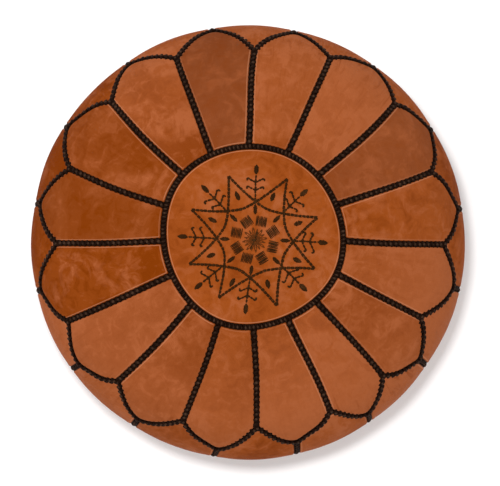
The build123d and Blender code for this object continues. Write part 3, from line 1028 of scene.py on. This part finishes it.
def makeEmbroidery():
    draw = np.random.RandomState(3)
    pitch = 2 * pi / star["points"]
    step = star["satin"]["step"]
    fine, fills, rays, knot = [], [], [], []
    for number in range(star["points"]):
        angle = pitch * number + radians(star["turn"] + star["sprigTurns"][number])
        between = pitch * (number + 0.5) + radians(star["turn"])
        reach = star["sprigReach"][number]
        fine.append(sprigLines(angle, reach, draw))
        length, width = star["leaf"]
        leaves = (
            (star["sprigEnd"] * reach + length / 2, length, width, angle),
            (*star["innerLeaf"], angle),
            (*star["pointLeaf"], between),
        )
        fills += [filled(leafShape(*leaf), leaf[3], step * 0.65) for leaf in leaves]
        blockTurn = pitch * (number + 0.5) + radians(star["blockTurn"])
        corners = np.array([(-0.5, -0.5), (0.5, -0.5), (0.5, 0.5), (-0.5, 0.5)])
        block = turned(corners * star["block"], blockTurn)
        block = block + turned([(star["blockCircle"], 0)], pitch * (number + 0.5))
        fills.append(filled(block, blockTurn + (pi / 2 if number % 3 else 0), step))
    inner, wide, outer = star["ray"]
    for number in range(star["rays"]):
        angle = 2 * pi * (number + 0.3) / star["rays"]
        end = outer - (star["shorter"] if number % 2 else 0)
        for side in (-star["rayLoop"], star["rayLoop"]):
            loop = [(inner, 0), (wide, side), (end, 0)]
            rays.append(stitched(turned(loop, angle), star["hair"]["step"]))
    for angle, start, end in star["knots"]:
        knot.append(stitched(turned([(start, 0), (end, 0)], angle), star["hair"]["step"]))
    kinds = (
        ("starLines", [starLines(pitch)], "bold", 0.0),
        ("sprigLines", fine, "fine", 0.0),
        ("fills", fills, "satin", 0.0),
        ("rays", rays, "hair", 0.9),
        ("knot", knot, "fine", 0.0),
    )
    pieces = []
    for number, (name, rows, kind, pale) in enumerate(kinds):
        rows = np.vstack(rows)
        rows = rows + draw.normal(0, star["unevenness"], rows.shape)
        piece = threads(name, rows, star[kind], topSurface, stitchMaterial, number, pale)
        pieces.append(piece)
    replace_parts(joinPieces("embroidery", pieces, stitchMaterial), "medallion_embroidery")


stitchMaterial = threadMaterial("embroideryThread", thread["stitch"], thread["stitchWorn"], 0.65)
makeEmbroidery()
print("embroidery stitched")

# Base

base = {
    "steps": 96,
    "firstRing": 0.0130,
    "ringStep": 0.004,
    "lipEnds": 0.030,
    "zipWindow": 0.014,
    "tone": 0.0,
    "umber": 0.3,
}
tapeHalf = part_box("zip_tape_front")[1].x


def makeBase(name, turnTo):
    halfCut = skin[-1, 4] - baseAlong
    gaps = np.concatenate(
        [panels["edgeSteps"], np.arange(base["firstRing"], halfCut - 0.001, base["ringStep"]), [halfCut]]
    )
    lift = np.interp(gaps, panels["lipAt"], panels["lipLift"])
    lift[gaps > base["lipEnds"]] = 0
    bm = spun(place(np.zeros(len(gaps)), baseAlong + gaps, lift), pi, base["steps"])
    for spot, facing in (
        ((0, base["zipWindow"] / 2, 0), (0, 1, 0)),
        ((tapeHalf, 0, 0), (1, 0, 0)),
        ((-tapeHalf, 0, 0), (1, 0, 0)),
    ):
        geometry = bm.verts[:] + bm.edges[:] + bm.faces[:]
        bmesh.ops.bisect_plane(bm, geom=geometry, plane_co=spot, plane_no=facing, dist=0.00001)
    inside = []
    for face in bm.faces:
        middle = face.calc_center_median()
        if middle.y < base["zipWindow"] / 2 and abs(middle.x) < tapeHalf:
            inside.append(face)
    bmesh.ops.delete(bm, geom=inside, context="FACES")
    layers = {key: bm.verts.layers.float.new(key) for key in layerNames}
    for vert in bm.verts:
        vert[layers["seamGap"]] = baseSeamRadius - hypot(vert.co.x, vert.co.y)
        vert[layers["tone"]] = base["tone"]
        vert[layers["umber"]] = base["umber"]
    bmesh.ops.transform(bm, matrix=Matrix.Rotation(turnTo, 4, "Z"), verts=bm.verts)
    outwards(bm)
    piece = newPiece(f"leather_{name}", bm, leatherMaterial)
    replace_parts(piece, name)
    stretch(piece, (2 * halfCut, halfCut))
    giveModifiers(piece, pouf["leather"], 0)


makeBase("base_panel_rear", 0)
makeBase("base_panel_front", pi)
print("base made")

# Zip and filling

zipper = {
    "stitchRow": 0.0036,  # from the leather's folded edge
    "stitch": strand(0.0046, 0.00055, 0.0004, -0.0004, 0.0002, 0.0002, -0.0004),
    "gap": 0.0010,
    "tape": 0.0007,
    "ripple": (0.00012, 190, 220),
}
inside = {
    "inner_bag": {"depth": 0.0056, "recess": 0.0170, "puckers": 24, "pucker": 0.0006},
    "filling": {"depth": 0.0072, "recess": 0.0176, "puckers": 9, "pucker": 0.0004},
}


woven = {  # light, dark, threads to a metre, roughness
    "zipTape": ((0.030, 0.015, 0.009), (0.012, 0.006, 0.004), 900, 0.8),
    "calico": ((0.62, 0.54, 0.40), (0.45, 0.38, 0.27), 700, 0.85),
    "wadding": ((0.72, 0.70, 0.66), (0.60, 0.58, 0.54), 120, 0.95),
}
brass = {"bright": (0.56, 0.40, 0.19), "dull": (0.25, 0.16, 0.07)}


def wovenMaterial(name):
    light, dark, count, roughness = woven[name]
    g = Graph(name, Specular_IOR_Level=0.2)
    waves = []
    for axis in range(3):
        along = g.node("ShaderNodeSeparateXYZ", {}, {0: g.place}, axis)
        waves.append(g.node("ShaderNodeMath", {"operation": "SINE"}, {0: along * (2 * pi * count)}))
    weave = waves[0] * waves[1] + waves[2] * 0.3
    soil = g.noise(40, 4, 0.6)
    colour = g.mix(weave * 0.3 + 0.4 + (soil - 0.5) * 0.6, light, dark)
    return g.finish(Base_Color=colour, Roughness=roughness + soil * 0.1, Normal=g.bump(weave, 0.0002, 0.7))


def metalMaterial():
    g = Graph("zipMetal", Metallic=1.0)
    wear = g.noise(500, 3, 0.6)
    stain = g.noise(70, 3, 0.5)
    colour = g.mix(stain.between(0.4, 0.7) * 0.6, brass["bright"], brass["dull"])
    return g.finish(Base_Color=colour, Roughness=0.28 + wear * 0.25, Normal=g.bump(wear, 0.00008, 0.5))


def makeZip():
    metal = metalMaterial()
    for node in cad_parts:
        if node.startswith(("zip_teeth", "zip_top", "zip_bottom", "zip_slider", "zip_pull")):
            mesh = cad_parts[node].data
            mesh.materials.clear()
            mesh.materials.append(metal)
    web = wovenMaterial("zipTape")
    ripple, alongWaves, acrossWaves = zipper["ripple"]
    for node in ("zip_tape_front", "zip_tape_rear"):
        low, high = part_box(node)
        bm = bmesh.new()
        bmesh.ops.create_grid(bm, x_segments=90, y_segments=8, size=0.5)
        bmesh.ops.scale(bm, vec=(high.x - low.x, high.y - low.y, 1), verts=bm.verts)
        bmesh.ops.translate(bm, vec=((low.x + high.x) / 2, (low.y + high.y) / 2, low.z), verts=bm.verts)
        for vert in bm.verts:
            vert.co.z += ripple * sin(vert.co.x * alongWaves) * sin((vert.co.y - low.y) * acrossWaves)
        bmesh.ops.reverse_faces(bm, faces=bm.faces)
        piece = newPiece(node.replace("zip_tape", "woven_tape"), bm, web)
        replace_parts(piece, node)
        giveModifiers(piece, zipper["tape"], 0)


def underSurface(x, y, lift):
    return np.stack([x, y, pouf["recess"] - lift], -1)


def makeZipStitches():
    y = base["zipWindow"] / 2 + zipper["stitchRow"]
    step, gap = zipper["stitch"]["step"], zipper["gap"]
    starts = np.arange(-tapeHalf + gap, tapeHalf - step, step)
    rows = [(x, side * y, x + step - gap, side * y) for side in (-1, 1) for x in starts]
    material = threadMaterial("sewingThread", thread["stitch"], thread["stitchWorn"], 0.6)
    piece = threads("zip_thread", rows, zipper["stitch"], underSurface, material, 5)
    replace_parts(piece, "zip_stitches")


def stuffed(name, node, cloth):  # a closed shape inside the leather
    sizes = inside[node]
    line = outline(sizes["depth"], sizes["recess"])
    at = np.linspace(0, line[-1, 4], 70)
    bm = spun(place(np.zeros(len(at)), at, 0.0, line), 2 * pi, base["steps"])
    for vert in bm.verts:
        turn = atan2(vert.co.y, vert.co.x) * sizes["puckers"]
        vert.co.xy *= 1 - sizes["pucker"] * (1 + sin(turn + vert.co.z * 90)) / poufRadius
    outwards(bm)
    piece = newPiece(name, bm, wovenMaterial(cloth))
    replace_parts(piece, node)


makeZip()
makeZipStitches()
stuffed("calico_bag", "inner_bag", "calico")
stuffed("stuffing", "filling", "wadding")
print("zip and filling made")

# Floor and light

studio = {
    "floor": 6.0,
    "floorColour": (0.92, 0.92, 0.92, 1),
    "floorGlow": 0.06,
    "sky": 0.80,
    "overhead": {"place": (-0.21, 0.06, 3.4), "size": 0.22, "power": 57},
    "key": {"place": (-2.4, 1.7, 2.4), "size": 1.8, "power": 26},
}


def makeStudio():
    bm = bmesh.new()
    bmesh.ops.create_grid(bm, x_segments=2, y_segments=2, size=studio["floor"])
    mesh = bpy.data.meshes.new("floor")
    bm.to_mesh(mesh)
    bm.free()
    floor = bpy.data.objects.new("floor", mesh)
    scene.collection.objects.link(floor)
    paper = Graph(
        "paper",
        Roughness=0.9,
        Base_Color=studio["floorColour"],
        Emission_Color=(1, 1, 1, 1),
        Emission_Strength=studio["floorGlow"],
    )
    mesh.materials.append(paper.material)
    world = bpy.data.worlds.new("studio")
    world.use_nodes = True
    world.node_tree.nodes["Background"].inputs["Color"].default_value = (1, 1, 1, 1)
    world.node_tree.nodes["Background"].inputs["Strength"].default_value = studio["sky"]
    scene.world = world
    for name in ("overhead", "key"):
        lamp = bpy.data.lights.new(name, "AREA")
        lamp.size, lamp.energy = studio[name]["size"], studio[name]["power"]
        holder = bpy.data.objects.new(name, lamp)
        spot = Vector(studio[name]["place"])
        holder.location = spot
        holder.rotation_euler = spot.to_track_quat("Z", "Y").to_euler()
        scene.collection.objects.link(holder)


makeStudio()
print("studio set")
